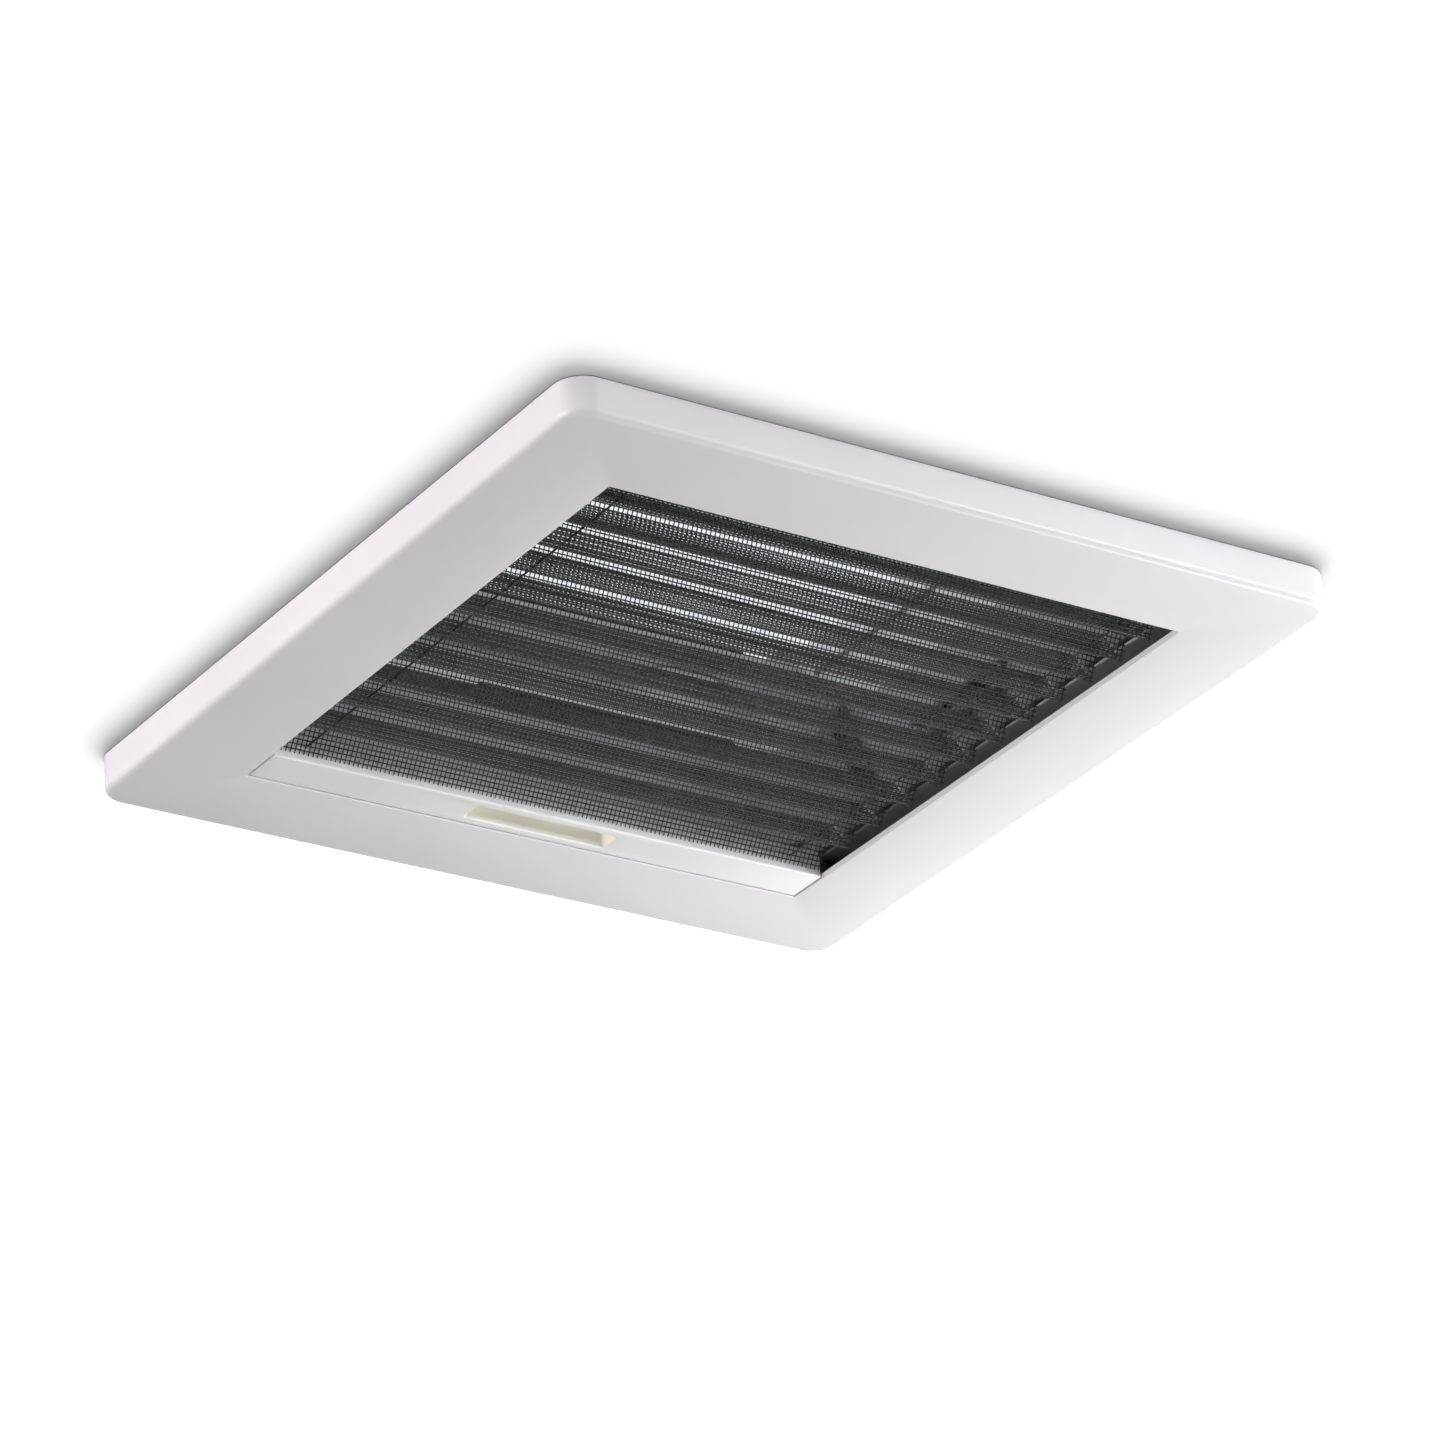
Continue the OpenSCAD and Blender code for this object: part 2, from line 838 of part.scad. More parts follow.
// A beam bonded under the pane, with a lug at each end for the handle's pivot
module handle_carrier() {
    color("lightgray")
        difference() {
            union() {
                box([-lug_x - lug_t, beam_near, beam_low], [lug_x + lug_t, beam_near + beam_t, beam_top]);
                box([-beam_half, beam_near, beam_top - beam_t], [beam_half, beam_far, beam_top]);
                both_sides()
                    plate_x(lug_x, lug_x + lug_t, concat(
                        [[beam_near - lug_root, beam_top]],
                        [[beam_near + beam_t, beam_top]],
                        [[beam_near + beam_t, beam_low]],
                        arc([pivot_y, pivot_z], lug_r, -50, -220)
                    ));
            }
            both_sides() {
                rod_x(lug_x - past, lug_x + lug_t + past, pivot_y, pivot_z, pivot_bore_r);
                rod_y(arch_mid, beam_near - past, beam_near + beam_t + past,
                    beam_low + arch_rise - arch_r, arch_r);
            }
        }
}

module carrier_tape() {
    color("black")
        box([-beam_half, beam_near + 0.5, beam_top], [beam_half, beam_far - 0.5, pane_z]);
}

module pivot_pin(left) {
    arm_out = arm_x + arm_t;
    color("lightsteelblue")
        side(left) {
            rod_x(lug_x - pivot_head_t, arm_out + pivot_head_t, pivot_y, pivot_z, pivot_r);
            rod_x(arm_out + pivot_play, arm_out + pivot_head_t, pivot_y, pivot_z, pivot_head_r);
            rod_x(lug_x - pivot_head_t, lug_x, pivot_y, pivot_z, pivot_tail_r);
        }
}

module handle_arm(left) {
    pivot = [pivot_y, pivot_z];
    foot = [grip_bar_y, grip_bar_z];
    down = atan2(foot[1] - pivot[1], foot[0] - pivot[0]);
    color("dimgray")
        side(left)
            difference() {
                plate_x(arm_x, arm_x + arm_t, concat(
                    arc(pivot, arm_eye_r, down + 90, down + 270),
                    arc(foot, arm_foot_r, down - 90, down + 90)
                ));
                rod_x(arm_x - past, arm_x + arm_t + past, pivot_y, pivot_z, pivot_bore_r);
                rod_x(arm_x - past, arm_x + arm_t + past, grip_bar_y, grip_bar_z, rod_seat_r);
            }
}

// The rod is pressed through both arms, and its ends go under the lock bolts
module handle_rod() {
    color("dimgray")
        rod_x(-rod_end, rod_end, grip_bar_y, grip_bar_z, rod_r);
}

module handle_grip() {
    color("black")
        difference() {
            rod_x(-sleeve_half, sleeve_half, grip_bar_y, grip_bar_z, sleeve_r);
            rod_x(-sleeve_half - past, sleeve_half + past, grip_bar_y, grip_bar_z, sleeve_in_r);
        }
}

trim_frame();
guide_rail(true);  // guide_rail_left
guide_rail(false);  // guide_rail_right
screen_fixed_rail();
screen_far_rail();
rail_screws();
insect_screen();
screen_cords();
cord_anchors();
pull_bar();
bar_cover();
bar_shoe(true);  // bar_shoe_left
bar_shoe(false);  // bar_shoe_right
clamp_frame();
clamp_screws();
lock_guide(true);  // lock_guide_left
lock_guide(false);  // lock_guide_right
lock_bolt(true);  // lock_bolt_left
lock_bolt(false);  // lock_bolt_right
roof_frame();
roof_gasket();
hinge_bracket(true);  // hinge_bracket_left
hinge_bracket(false);  // hinge_bracket_right
bracket_screws();
hinge_pin(true);  // hinge_pin_left
hinge_pin(false);  // hinge_pin_right
friction_washers();
dome_frame();
dome_inner();
dome_outer();
dome_seal();
hinge_leaf(true);  // hinge_leaf_left
hinge_leaf(false);  // hinge_leaf_right
leaf_screws();
handle_carrier();
carrier_tape();
pivot_pin(true);  // pivot_pin_left
pivot_pin(false);  // pivot_pin_right
handle_arm(true);  // handle_arm_left
handle_arm(false);  // handle_arm_right
handle_rod();
handle_grip();
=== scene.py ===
import json
import math

import bpy
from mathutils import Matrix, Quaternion, Vector


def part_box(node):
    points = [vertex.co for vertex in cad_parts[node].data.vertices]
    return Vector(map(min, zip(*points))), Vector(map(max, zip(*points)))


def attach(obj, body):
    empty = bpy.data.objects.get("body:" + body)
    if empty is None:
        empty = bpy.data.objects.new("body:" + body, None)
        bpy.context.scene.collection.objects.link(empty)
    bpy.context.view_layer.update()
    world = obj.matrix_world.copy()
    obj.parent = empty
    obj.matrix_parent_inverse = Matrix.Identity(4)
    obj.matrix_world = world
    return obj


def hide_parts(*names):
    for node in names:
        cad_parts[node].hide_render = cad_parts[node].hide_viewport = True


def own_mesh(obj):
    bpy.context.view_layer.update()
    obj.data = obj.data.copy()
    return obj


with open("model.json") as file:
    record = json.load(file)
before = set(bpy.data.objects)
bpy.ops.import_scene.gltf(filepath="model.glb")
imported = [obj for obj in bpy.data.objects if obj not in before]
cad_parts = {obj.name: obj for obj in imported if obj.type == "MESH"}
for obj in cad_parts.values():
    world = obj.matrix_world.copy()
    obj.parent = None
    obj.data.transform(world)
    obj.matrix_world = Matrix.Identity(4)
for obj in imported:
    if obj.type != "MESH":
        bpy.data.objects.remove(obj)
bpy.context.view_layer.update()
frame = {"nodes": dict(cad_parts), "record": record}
nodes = frame["nodes"]
record = frame["record"]

# ---------------------------------------------------------------- places from the frame
trim_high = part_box("trim_frame")[1]
bar_low, bar_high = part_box("pull_bar")
net_low, net_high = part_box("insect_screen")
dome_low, dome_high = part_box("dome_outer")

OPENING = 0.132          # half of the trim's square opening
CEILING_Z = trim_high.z  # where the ceiling meets the trim's wall
CUTOUT = 0.140           # half of the roof's cut-out


# ---------------------------------------------------------------- mesh helpers
def new_object(name, verts, faces, smooth_angle=35):
    mesh = bpy.data.meshes.new(name)
    mesh.from_pydata(verts, [], faces)
    mesh.validate()
    mesh.update()
    for poly in mesh.polygons:
        poly.use_smooth = True
    obj = bpy.data.objects.new(name, mesh)
    bpy.context.scene.collection.objects.link(obj)
    mesh.set_sharp_from_angle(angle=math.radians(smooth_angle))
    return obj


def outline(half_x, half_y, r, steps=10):
    """A rectangle with round corners, steps + 1 points to a corner, counter-clockwise from +X."""
    points = []
    for quarter in range(4):
        sx = 1 if quarter in (0, 3) else -1
        sy = 1 if quarter in (0, 1) else -1
        for i in range(steps + 1):
            a = math.radians(90 * (quarter + i / steps))
            x, y = sx * (half_x - r), sy * (half_y - r)
            points.append((x + r * math.cos(a), y + r * math.sin(a)))
    return points


MIN_RADIUS = 1e-5  # keeps the points of a sharp corner apart


def loft(rings, steps=10, centre=(0.0, 0.0), close=True):
    """Verts and faces through rings of (half_x, half_y, corner_r, z). It ends in flat caps, or
    runs back to its first ring when close is False."""
    verts, faces = [], []
    count = 4 * (steps + 1)
    for half_x, half_y, r, z in rings:
        points = outline(half_x, half_y, max(r, MIN_RADIUS), steps)
        verts += [(centre[0] + x, centre[1] + y, z) for x, y in points]
    for k in range(len(rings) - (1 if close else 0)):
        a, b = k * count, ((k + 1) % len(rings)) * count
        for i in range(count):
            j = (i + 1) % count
            faces.append((a + i, a + j, b + j, b + i))
    if close:
        faces.append(tuple(range(count - 1, -1, -1)))
        last = (len(rings) - 1) * count
        faces.append(tuple(last + i for i in range(count)))
    return verts, faces


# ---------------------------------------------------------------- materials
def group_noise(tree, scale, detail=2.0, stretch=None):
    """A noise texture on the object's own coordinates, in metres."""
    links = tree.links
    co = tree.nodes.new("ShaderNodeTexCoord")
    src = co.outputs["Object"]
    if stretch:
        mapping = tree.nodes.new("ShaderNodeMapping")
        mapping.inputs["Scale"].default_value = stretch
        links.new(src, mapping.inputs["Vector"])
        src = mapping.outputs["Vector"]
    noise = tree.nodes.new("ShaderNodeTexNoise")
    noise.inputs["Scale"].default_value = scale
    noise.inputs["Detail"].default_value = detail
    links.new(src, noise.inputs["Vector"])
    return noise.outputs["Fac"]


def ramp(tree, fac, stops):
    node = tree.nodes.new("ShaderNodeValToRGB")
    elements = node.color_ramp.elements
    while len(elements) < len(stops):
        elements.new(0.5)
    for element, (place, colour) in zip(elements, stops):
        element.position = place
        element.color = (*colour, 1)
    tree.links.new(fac, node.inputs["Fac"])
    return node.outputs["Color"]


def span(tree, fac, low, high):
    node = tree.nodes.new("ShaderNodeMapRange")
    node.inputs["To Min"].default_value = low
    node.inputs["To Max"].default_value = high
    tree.links.new(fac, node.inputs["Value"])
    return node.outputs["Result"]


def bump(tree, height, distance):
    node = tree.nodes.new("ShaderNodeBump")
    node.inputs["Distance"].default_value = distance
    tree.links.new(height, node.inputs["Height"])
    return node.outputs["Normal"]


def shaded(colour, amount):
    return tuple(min(1.0, c * amount) for c in colour)


def base_material(name, **sockets):
    mat = bpy.data.materials.new(name)
    mat.use_nodes = True
    shader = mat.node_tree.nodes["Principled BSDF"]
    for socket, value in sockets.items():
        shader.inputs[socket.replace("_", " ")].default_value = value
    return mat, mat.node_tree, shader


def plastic(name, colour, rough=0.4, grain=0.00002, grain_scale=2600, mottle=0.03):
    """Moulded plastic: fine spark-eroded grain, slow colour drift and uneven gloss."""
    mat, tree, shader = base_material(name, Roughness=rough)
    dark, light = shaded(colour, 1 - mottle), shaded(colour, 1 + mottle / 3)
    drift = ramp(tree, group_noise(tree, 14, 3), [(0.3, dark), (0.7, light)])
    tree.links.new(drift, shader.inputs["Base Color"])
    gloss = span(tree, group_noise(tree, 60, 4), rough - 0.05, rough + 0.06)
    tree.links.new(gloss, shader.inputs["Roughness"])
    tree.links.new(bump(tree, group_noise(tree, grain_scale, 2), grain), shader.inputs["Normal"])
    return mat


def metal(name, colour, rough=0.3, along=(1, 1, 1), depth=0.000004):
    """Drawn or plated metal: fine lines along one axis and uneven polish."""
    mat, tree, shader = base_material(name, Metallic=1.0, Roughness=rough)
    lines = group_noise(tree, 900, 3, stretch=along)
    dark, light = shaded(colour, 0.88), shaded(colour, 1.04)
    drift = ramp(tree, group_noise(tree, 40, 3), [(0.25, dark), (0.75, light)])
    tree.links.new(drift, shader.inputs["Base Color"])
    tree.links.new(span(tree, lines, rough - 0.07, rough + 0.1), shader.inputs["Roughness"])
    tree.links.new(bump(tree, lines, depth), shader.inputs["Normal"])
    return mat


def rubber(name, colour, rough=0.75, scale=700, depth=0.00006):
    mat, tree, shader = base_material(name, Roughness=rough)
    cells = group_noise(tree, scale, 5)
    tree.links.new(
        ramp(tree, cells, [(0.3, shaded(colour, 0.7)), (0.7, shaded(colour, 1.35))]),
        shader.inputs["Base Color"],
    )
    tree.links.new(bump(tree, cells, depth), shader.inputs["Normal"])
    return mat


def opal(name, colour, clear, rough):
    """Translucent acrylic: part of the light goes straight on, part is scattered."""
    mat, tree, shader = base_material(name, Roughness=rough, IOR=1.49)
    out = next(n for n in tree.nodes if n.type == "OUTPUT_MATERIAL")
    drift = ramp(tree, group_noise(tree, 9, 2), [(0.3, shaded(colour, 0.97)), (0.7, colour)])
    tree.links.new(drift, shader.inputs["Base Color"])
    tree.links.new(bump(tree, group_noise(tree, 900, 2), 0.000012), shader.inputs["Normal"])
    glow = tree.nodes.new("ShaderNodeBsdfTranslucent")
    tree.links.new(drift, glow.inputs["Color"])
    see = tree.nodes.new("ShaderNodeBsdfTransparent")
    see.inputs["Color"].default_value = (*colour, 1)
    soft = tree.nodes.new("ShaderNodeMixShader")
    soft.inputs["Fac"].default_value = 0.55
    tree.links.new(shader.outputs["BSDF"], soft.inputs[1])
    tree.links.new(glow.outputs["BSDF"], soft.inputs[2])
    mix = tree.nodes.new("ShaderNodeMixShader")
    mix.inputs["Fac"].default_value = clear
    tree.links.new(soft.outputs["Shader"], mix.inputs[1])
    tree.links.new(see.outputs["BSDF"], mix.inputs[2])
    tree.links.new(mix.outputs["Shader"], out.inputs["Surface"])
    return mat


def net_material():
    """PVC-coated glass-fibre thread: near black with a dull sheen."""
    mat, tree, shader = base_material("net_charcoal", Roughness=0.55)
    shader.inputs["Sheen Weight"].default_value = 0.15
    tone = group_noise(tree, 55, 4)
    tree.links.new(
        ramp(tree, tone, [(0.3, (0.022, 0.022, 0.024)), (0.7, (0.036, 0.036, 0.038))]),
        shader.inputs["Base Color"],
    )
    tree.links.new(bump(tree, group_noise(tree, 3000, 2), 0.00003), shader.inputs["Normal"])
    return mat


def bar_material():
    """White plastic, with a warm cream tone painted inside the finger grip's recess as painted
    light.
    """
    white, grip_light_cream = (0.89, 0.86, 0.89), (0.94, 0.90, 0.83)
    mat = plastic("bar_white", white, 0.36)
    tree = mat.node_tree
    shader = tree.nodes["Principled BSDF"]
    plain = shader.inputs["Base Color"].links[0].from_socket
    place = tree.nodes.new("ShaderNodeSeparateXYZ")
    tree.links.new(tree.nodes.new("ShaderNodeTexCoord").outputs["Object"], place.inputs["Vector"])

    def math_node(operation, first, second):
        node = tree.nodes.new("ShaderNodeMath")
        node.operation = operation
        tree.links.new(first, node.inputs[0])
        if isinstance(second, float):
            node.inputs[1].default_value = second
        else:
            tree.links.new(second, node.inputs[1])
        return node.outputs["Value"]

    # the cream inside the grip is painted light: the warm tone the recess shows where light falls
    # into it
    # the grip: this deep in the bar's face, and this far to each side of its middle
    middle, depth, reach = (bar_low.y + bar_high.y) / 2, 0.0012, 0.0066
    deep = math_node("GREATER_THAN", place.outputs["Z"], bar_low.z + depth)
    far = math_node("LESS_THAN", place.outputs["Y"], middle + reach)
    near = math_node("GREATER_THAN", place.outputs["Y"], middle - reach)
    grip_light_mask = math_node("MULTIPLY", deep, math_node("MULTIPLY", far, near))
    tone = tree.nodes.new("ShaderNodeMix")
    tone.data_type = "RGBA"
    tree.links.new(grip_light_mask, tone.inputs["Factor"])
    tree.links.new(plain, tone.inputs["A"])
    tone.inputs["B"].default_value = (*grip_light_cream, 1)
    tree.links.new(tone.outputs["Result"], shader.inputs["Base Color"])
    return mat


MATERIALS = {
    "trim_white": plastic("trim_white", (0.81, 0.762, 0.82), 0.42),
    "bar_white": bar_material(),
    # the liner is white plastic, painted a dark grey here: painted shade for the inside of the
    # duct, where little light reaches
    "liner_white": plastic("liner_white", (0.38, 0.38, 0.385), 0.5, mottle=0.05),
    "roof_white": plastic("roof_white", (0.84, 0.84, 0.82), 0.35, mottle=0.05),
    "rail_alu": metal("rail_alu", (0.50, 0.50, 0.51), 0.42, along=(1, 0.02, 1)),
    "net_charcoal": net_material(),
    "cord_grey": rubber("cord_grey", (0.035, 0.035, 0.036), 0.8, 2500, 0.00008),
    "zinc": metal("zinc", (0.66, 0.69, 0.73), 0.32),
    "stainless": metal("stainless", (0.70, 0.70, 0.71), 0.24),
    "dark_plastic": plastic("dark_plastic", (0.035, 0.035, 0.038), 0.45, mottle=0.2),
    "guide_grey": plastic("guide_grey", (0.20, 0.20, 0.21), 0.48, mottle=0.1),
    "handle_dark": plastic("handle_dark", (0.045, 0.045, 0.05), 0.5, 0.00004, 1800, mottle=0.15),
    "grip_rubber": rubber("grip_rubber", (0.02, 0.02, 0.021), 0.8, 1600),
    "seal_black": rubber("seal_black", (0.022, 0.022, 0.022), 0.9, 900, 0.0001),
    "fibre": rubber("fibre", (0.30, 0.21, 0.12), 0.85, 1500),
    "dome_opal": opal("dome_opal", (0.93, 0.95, 0.96), 0.35, 0.16),
    "pane_opal": opal("pane_opal", (0.95, 0.96, 0.97), 0.45, 0.2),
}
slot_of = {part["node"]: part["material_slot"] for part in record["subparts"]}
for name, obj in nodes.items():
    obj.data.materials.clear()
    obj.data.materials.append(MATERIALS[slot_of[name]])


def finish_piece(obj, slot, body, *replaced):
    obj.data.materials.append(MATERIALS[slot])
    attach(obj, body)
    if replaced:
        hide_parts(*replaced)


# ---------------------------------------------------------------- trim frame
def trim_piece():
    half, wall, face = trim_high.x, 0.0024, 0.0024
    corner, edge, lip = 0.012, 0.003, 0.0005
    sharp, chamfer = 0.0008, 0.0004
    rings = []
    # the opening's wall, from the back of the face down to its rounded lower edge
    rings.append((OPENING, OPENING, sharp, face))
    for i in range(5):
        a = math.radians(90 * i / 4)
        inner = OPENING + lip * (1 - math.cos(a))
        rings.append((inner, inner, sharp, lip * (1 - math.sin(a))))
    # the outer lower edge and the wall
    for i in range(9):
        a = math.radians(90 * i / 8)
        out = half - edge * (1 - math.sin(a))
        rings.append((out, out, corner - half + out, edge * (1 - math.cos(a))))
    rings.append((half, half, corner, CEILING_Z - chamfer))
    upper = (chamfer, CEILING_Z), (wall, CEILING_Z), (wall, face + sharp), (wall + sharp, face)
    for inset, z in upper:
        rings.append((half - inset, half - inset, corner - inset, z))
    return new_object("trim_cover", *loft(rings, steps=16, close=False))


finish_piece(trim_piece(), "trim_white", "frame", "trim_frame")


# ---------------------------------------------------------------- pull bar
def bar_piece():
    cy = (bar_low.y + bar_high.y) / 2
    hx, hy = bar_high.x, (bar_high.y - bar_low.y) / 2
    z0, z1 = bar_low.z, bar_high.z
    wall, edge, lip = 0.0018, 0.0009, 0.0006
    grip_x, grip_y, grip_r, grip_top = 0.034, 0.0055, 0.0022, z0 + 0.0085
    grip_wall = 0.0013
    rings = []
    back_x, back_y, back_r = grip_x + grip_wall, grip_y + grip_wall, grip_r + grip_wall
    rings.append((back_x - 0.0008, back_y, back_r, grip_top + grip_wall))
    rings.append((back_x, back_y, back_r, z0 + wall))
    rings.append((hx - wall, hy - wall, 0.0004, z0 + wall))
    rings.append((hx - wall, hy - wall, 0.0004, z1))
    rings.append((hx - 0.0003, hy - 0.0003, 0.0005, z1))
    rings.append((hx, hy, 0.0008, z1 - 0.0003))
    for i in range(7):
        a = math.radians(90 * i / 6)
        inset = edge * (1 - math.cos(a))
        rings.append((hx - inset, hy - inset, 0.0008, z0 + edge * (1 - math.sin(a))))
    for i in range(6):
        a = math.radians(90 * i / 5)
        out = lip * (1 - math.sin(a))
        rings.append((grip_x + out, grip_y + out, grip_r + out, z0 + lip * (1 - math.cos(a))))
    rings.append((grip_x - 0.0006, grip_y - 0.0002, grip_r, grip_top - 0.001))
    rings.append((grip_x - 0.0010, grip_y - 0.0006, grip_r, grip_top - 0.0003))
    rings.append((grip_x - 0.0018, grip_y - 0.0012, grip_r, grip_top))
    return new_object("pull_bar_moulding", *loft(rings, steps=8, centre=(0, cy)))


finish_piece(bar_piece(), "bar_white", "screen_bar", "pull_bar")


# ---------------------------------------------------------------- insect screen
PLEATS = 12
PANEL = 0.0195           # length of net between two folds
SPREAD = 0.1             # how much further apart the pleats near the bar are drawn
WARP_STEP = 0.00208      # between threads that run up and down the pleats
WEFT_STEP = 0.00202      # between threads that run along the folds
THREAD = 0.00028         # half of a thread's thickness
INSET = 0.0002           # from the net's box to the drawn net
HELD_Y = -(OPENING + 0.0025)  # the fixed rail's end of the net


def fold_y(i):
    share = i / (2 * PLEATS)
    return HELD_Y + (net_high.y - HELD_Y) * share * (1 - SPREAD + SPREAD * share)


def fold_z(i):
    if i % 2 == 0:
        return net_low.z + INSET
    rise = math.sqrt(PANEL ** 2 - ((fold_y(i + 1) - fold_y(i - 1)) / 2) ** 2)
    return net_low.z + INSET + rise


def net_profile():
    """The folded net's section, with a short flat at each fold."""
    round_share = 0.03
    folds = [Vector((0, fold_y(i), fold_z(i))) for i in range(2 * PLEATS + 1)]
    points = [folds[0]]
    for i in range(1, 2 * PLEATS):
        before = folds[i].lerp(folds[i - 1], round_share)
        after = folds[i].lerp(folds[i + 1], round_share)
        points += [before, after]
    points.append(folds[-1])
    return points


def along(points, step):
    """Points at equal distances along a polyline, with the way it runs there."""
    out, left = [], step / 2
    for a, b in zip(points, points[1:]):
        length = (b - a).length
        while left <= length:
            out.append((a.lerp(b, left / length), (b - a).normalized()))
            left += step
        left -= length
    return out


def net_piece():
    """The net's threads, and its flat size: the width, and the length along the folds' section."""
    profile = net_profile()
    half = net_high.x - INSET
    verts, faces = [], []

    def quad_tube(rings):
        base = len(verts)
        for ring in rings:
            verts.extend(ring)
        for k in range(len(rings) - 1):
            for i in range(4):
                j = (i + 1) % 4
                a = base + 4 * k
                faces.append((a + i, a + j, a + 4 + j, a + 4 + i))
        faces.append((base + 3, base + 2, base + 1, base))
        last = base + 4 * (len(rings) - 1)
        faces.append((last, last + 1, last + 2, last + 3))

    def diamond(point, across, up, r):
        return [tuple(point + way * r) for way in (across, up, -across, -up)]

    x_axis = Vector((1, 0, 0))
    normals = []
    for i, point in enumerate(profile):
        a = profile[max(i - 1, 0)]
        b = profile[min(i + 1, len(profile) - 1)]
        run = (b - a).normalized()
        normals.append(Vector((0, -run.z, run.y)))
    count = int(2 * half / WARP_STEP)
    first = -(count - 1) * WARP_STEP / 2
    for k in range(count):
        x = Vector((first + k * WARP_STEP, 0, 0))
        quad_tube([diamond(point + x, x_axis, up, THREAD) for point, up in zip(profile, normals)])
    for point, run in along(profile, WEFT_STEP):
        up = Vector((0, -run.z, run.y))
        ends = [point - x_axis * half, point + x_axis * half]
        quad_tube([diamond(end, run, up, THREAD) for end in ends])
    length = sum((b - a).length for a, b in zip(profile, profile[1:]))
    return new_object("insect_net", verts, faces, 80), (2 * half, length)


net, net_flat = net_piece()
finish_piece(net, "net_charcoal", "frame", "insect_screen")
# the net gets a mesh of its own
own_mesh(net)


# ---------------------------------------------------------------- dome shell
def dome_piece():
    z0, high = dome_low.z, dome_high.z - dome_low.z
    half, crown, corner, shell = dome_high.x, 0.112, 0.042, 0.0025

    def skin(inset, steps):
        rings = []
        for i in range(steps + 1):
            a = math.radians(90 * i / steps)
            reach = crown - inset + (half - crown) * math.cos(a)
            rings.append((reach, reach, corner - inset, z0 + (high - inset) * math.sin(a)))
        return rings

    outer, inner = skin(0, 18), skin(shell, 18)
    return new_object("dome_shell", *loft(list(reversed(inner)) + outer, steps=16), 60)


finish_piece(dome_piece(), "dome_opal", "dome", "dome_outer")


# ---------------------------------------------------------------- CAD nodes, bevelled and smoothed
REPLACED = {"trim_frame", "pull_bar", "insect_screen", "dome_outer"}
for name, obj in nodes.items():
    if name in REPLACED:
        continue
    for poly in obj.data.polygons:
        poly.use_smooth = True
    weld = obj.modifiers.new("weld", "WELD")
    weld.merge_threshold = 0.000002
    bevel = obj.modifiers.new("edge", "BEVEL")
    bevel.width = 0.0003
    bevel.segments = 2
    bevel.limit_method = "ANGLE"
    bevel.angle_limit = math.radians(40)
    bevel.harden_normals = False

# ---------------------------------------------------------------- stage, lights and camera
WORLD_ABOVE = 0.42      # daylight over the roof
WORLD_BELOW = 0.02      # the room, lit by the lamps below
BACKGROUND = 0.9        # what the camera sees where there is nothing
CEILING_HALF = 3.0
FLOOR_HALF, FLOOR_Z = 12.0, -2.1
world = bpy.data.worlds.new("world")
bpy.context.scene.world = world
world.use_nodes = True
tree = world.node_tree
background = tree.nodes["Background"]
way = tree.nodes.new("ShaderNodeTexCoord")
split = tree.nodes.new("ShaderNodeSeparateXYZ")
tree.links.new(way.outputs["Generated"], split.inputs["Vector"])
level = tree.nodes.new("ShaderNodeMapRange")
level.inputs["From Min"].default_value = -0.02
level.inputs["From Max"].default_value = 0.10
tree.links.new(split.outputs["Z"], level.inputs["Value"])
light_path = tree.nodes.new("ShaderNodeLightPath")
seen = tree.nodes.new("ShaderNodeMix")
seen.data_type = "RGBA"
tree.links.new(light_path.outputs["Is Camera Ray"], seen.inputs["Factor"])
tree.links.new(
    ramp(tree, level.outputs["Result"], [(0.0, (WORLD_BELOW,) * 3), (1.0, (WORLD_ABOVE,) * 3)]),
    seen.inputs["A"],
)
seen.inputs["B"].default_value = (BACKGROUND,) * 3 + (1,)
tree.links.new(seen.outputs["Result"], background.inputs["Color"])


def stage_plane(name, half, hole, z):
    """Four faces that look down, round a square hole."""
    corners = [(1, 1), (-1, 1), (-1, -1), (1, -1)]
    verts = [(x * size, y * size, z) for size in (half, hole) for x, y in corners]
    faces = [(i, i + 4, (i + 1) % 4 + 4, (i + 1) % 4) for i in range(4)]
    return new_object(name, verts, faces)


def one_sided(name, colour):
    """Paint on the ceiling's lower face. From above the ceiling is clear, to show the part."""
    mat, tree, shader = base_material(name, Base_Color=(*colour, 1), Roughness=0.9)
    shader.inputs["Specular IOR Level"].default_value = 0
    out = next(n for n in tree.nodes if n.type == "OUTPUT_MATERIAL")
    side = tree.nodes.new("ShaderNodeNewGeometry")
    clear = tree.nodes.new("ShaderNodeBsdfTransparent")
    mix = tree.nodes.new("ShaderNodeMixShader")
    tree.links.new(side.outputs["Backfacing"], mix.inputs["Fac"])
    tree.links.new(shader.outputs["BSDF"], mix.inputs[1])
    tree.links.new(clear.outputs["BSDF"], mix.inputs[2])
    tree.links.new(mix.outputs["Shader"], out.inputs["Surface"])
    return mat


# the ceiling the camera sees has its own even light, as the white ceiling of a studio picture has
ceiling = stage_plane("ceiling", CEILING_HALF, CUTOUT, CEILING_Z + 0.0002)
ceiling.data.materials.append(one_sided("ceiling_paint", (0.12, 0.12, 0.12)))
ceiling.visible_diffuse = ceiling.visible_glossy = ceiling.visible_shadow = False
# and this one, just above it, is the ceiling for the light that falls on the part
backing = stage_plane("ceiling_backing", CEILING_HALF, trim_high.x - 0.001, CEILING_Z + 0.0004)
backing.data.materials.append(base_material(
    "ceiling_back", Base_Color=(0.8, 0.8, 0.8, 1), Roughness=0.9)[0])
backing.visible_camera = False
floor = stage_plane("floor", FLOOR_HALF, 0.001, FLOOR_Z)
floor.data.materials.append(base_material(
    "floor_paint", Base_Color=(0.2, 0.2, 0.2, 1), Roughness=0.9,
    Emission_Color=(1, 1, 1, 1), Emission_Strength=0.6)[0])
floor.visible_diffuse = floor.visible_glossy = floor.visible_shadow = False

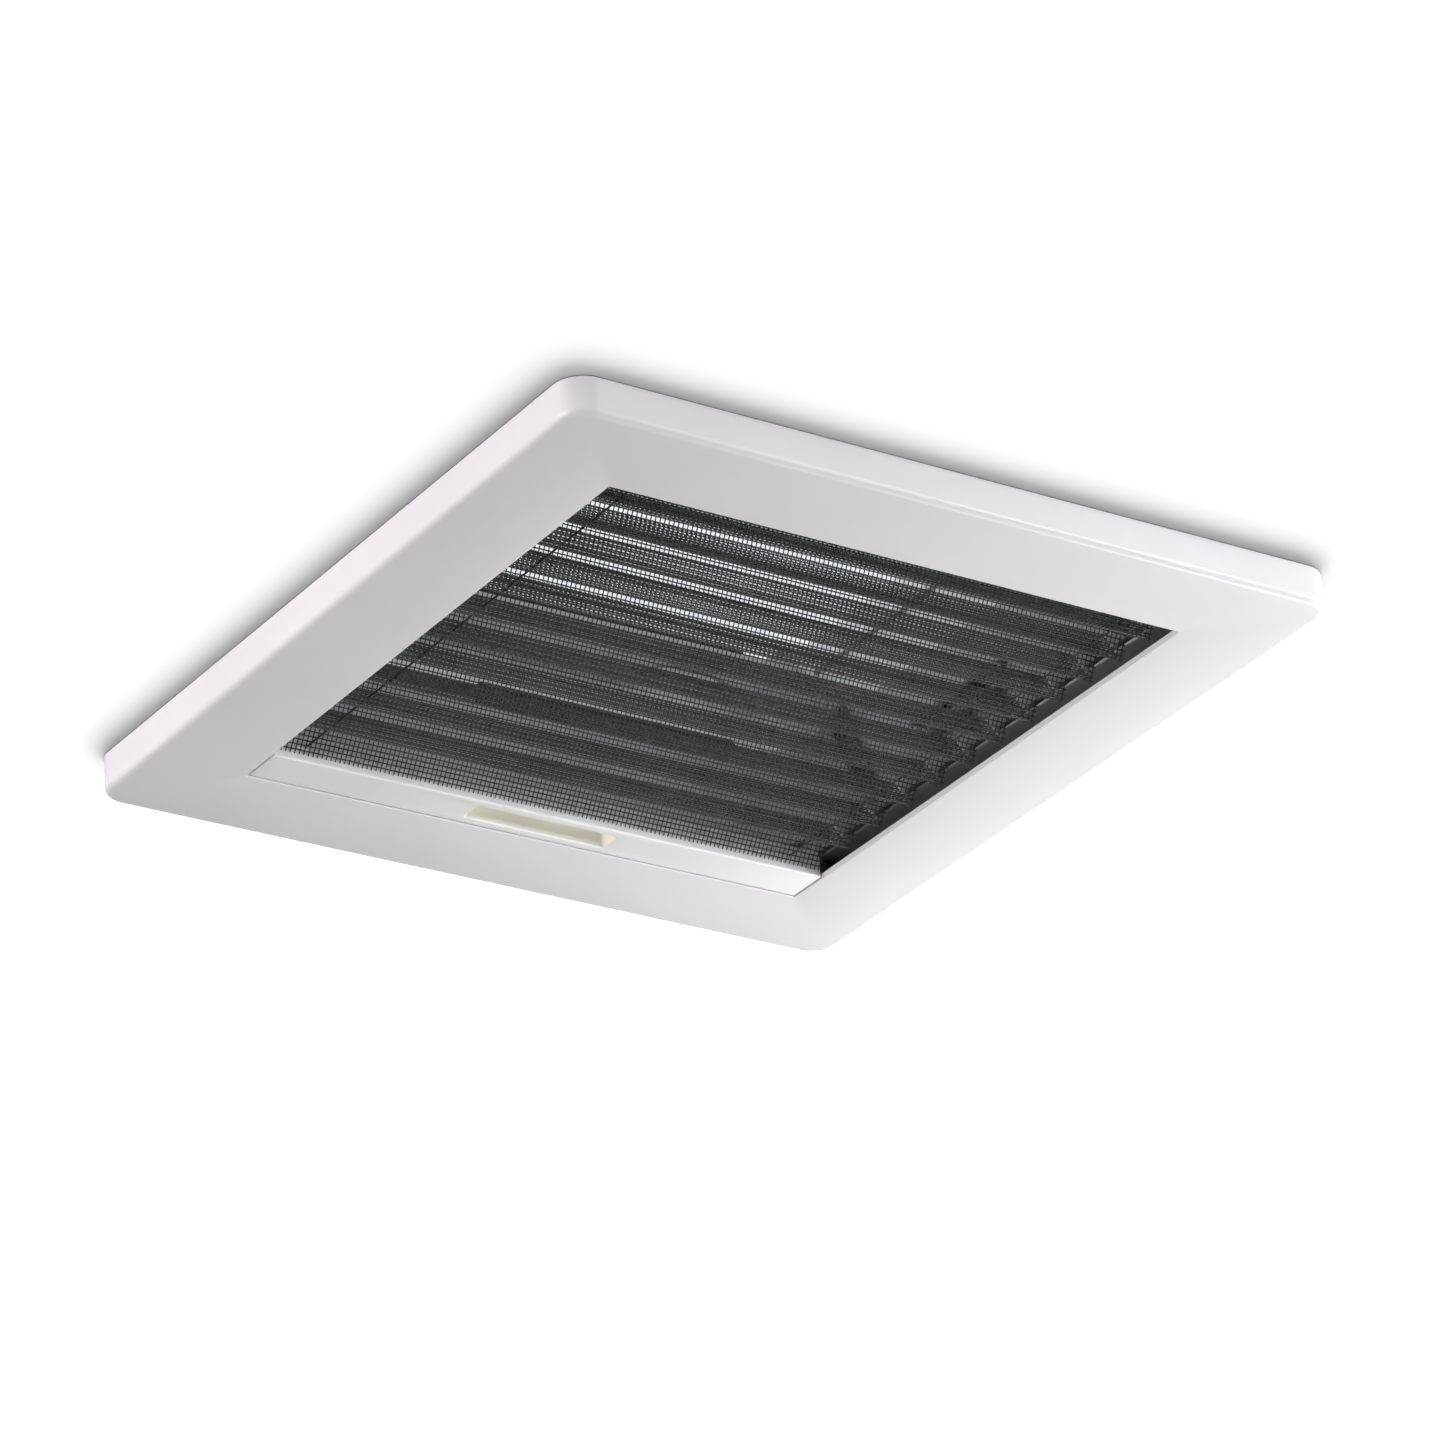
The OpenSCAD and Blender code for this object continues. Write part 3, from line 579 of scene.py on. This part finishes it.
wash_only = bpy.data.collections.new("wash_only")
wash_only.objects.link(ceiling)
inside_only = bpy.data.collections.new("inside_only")
for name in ("dome_inner", "clamp_frame", "handle_carrier", "handle_grip"):
    inside_only.objects.link(nodes[name])
all_but = bpy.data.collections.new("all_but_ceiling")
all_but.objects.link(ceiling)
all_but.collection_objects[0].light_linking.link_state = "EXCLUDE"


def area_light(name, place, target, size, power, colour=(1, 1, 1), lit=all_but):
    data = bpy.data.lights.new(name, "AREA")
    data.shape = "DISK"
    data.size = size
    data.energy = power
    data.color = colour
    light = bpy.data.objects.new(name, data)
    bpy.context.scene.collection.objects.link(light)
    light.location = place
    light.rotation_mode = "QUATERNION"
    light.rotation_quaternion = (Vector(target) - Vector(place)).to_track_quat("-Z", "Y")
    light.light_linking.receiver_collection = lit


area_light("right_low", (0.75, 0.10, -0.60), (0.1, 0, 0), 0.5, 6.7, (1, 1.07, 0.99))
area_light("far_right", (1.1, 1.1, -0.45), (0, 0, 0.01), 0.6, 2.3)
area_light("left_level", (-1.5, 0.1, -0.16), (-0.17, 0, 0.008), 0.5, 18, (1, 0.99, 0.98))
area_light("near_level", (0.9, -1.3, -0.12), (0.05, -0.17, 0.008), 0.5, 17, (0.99, 1.02, 1.02))
area_light("near_mid", (0.2, -1.6, -0.2), (0, -0.17, 0.008), 0.6, 2.6)
area_light("below", (0, 0, -1.6), (0, 0, 0), 1.6, 6)
area_light("sky", (0, 0, 2.0), (0, 0, 0.1), 1.6, 460, lit=inside_only)
area_light("roof_key", (1.6, -1.2, 2.4), (0, 0, 0.06), 1.0, 42)
area_light("ceiling_wash", (0, 0, -1.9), (0, 0, 0), 6.0, 640, lit=wash_only)
area_light("ceiling_slant", (3.0, 3.5, -4.0), (0, 0, 0), 6.0, 2700, lit=wash_only)

CAMERA_PLACE = Vector((-1.3990, -1.9373, -1.2007))
CAMERA_TARGET = Vector((0.0138, 0.0102, 0.0))
CAMERA_ROLL = math.radians(-4.668)
camera = bpy.data.objects.new("camera", bpy.data.cameras.new("camera"))
bpy.context.scene.collection.objects.link(camera)
bpy.context.scene.camera = camera
camera.data.lens = 170.07
camera.data.sensor_width = 36
camera.data.clip_start = 0.1
camera.data.clip_end = 100
camera.location = CAMERA_PLACE
camera.rotation_mode = "QUATERNION"
sight = CAMERA_TARGET - CAMERA_PLACE
level_view = sight.to_track_quat("-Z", "Y")
camera.rotation_quaternion = Quaternion(sight.normalized(), -CAMERA_ROLL) @ level_view
bpy.context.scene.view_settings.view_transform = "Standard"
